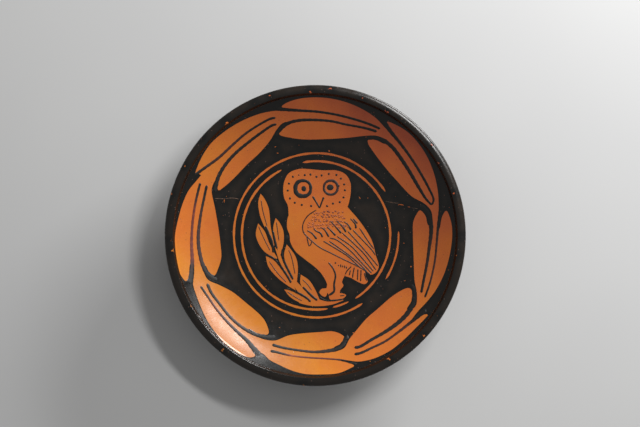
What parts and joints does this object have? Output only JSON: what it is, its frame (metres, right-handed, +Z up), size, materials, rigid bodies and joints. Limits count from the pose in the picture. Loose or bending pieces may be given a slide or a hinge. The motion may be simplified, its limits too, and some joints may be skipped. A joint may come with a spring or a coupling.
{
  "type": "plate",
  "caption": "Shallow round ceramic plate with a heavy rounded lip, a curved wall, a flat picture floor and a separately thrown ring foot luted on with slip.",
  "frame": {"origin": "centre of the ring foot's resting face", "axes": "+Z up along the plate's axis, out of the dish; +Y towards the top of the painted owl"},
  "size_m": [0.181, 0.181, 0.0296],
  "materials": {
    "black_gloss": "satin black gloss over orange clay, with reserved figures",
    "foot_gloss": "satin black gloss, resting face left bare",
    "bare_clay": "matt fired orange clay"
  },
  "bodies": {
    "root": {"thrown_dish": "black_gloss", "ring_foot": "foot_gloss", "luting_slip": "bare_clay"}
  },
  "joints": []
}
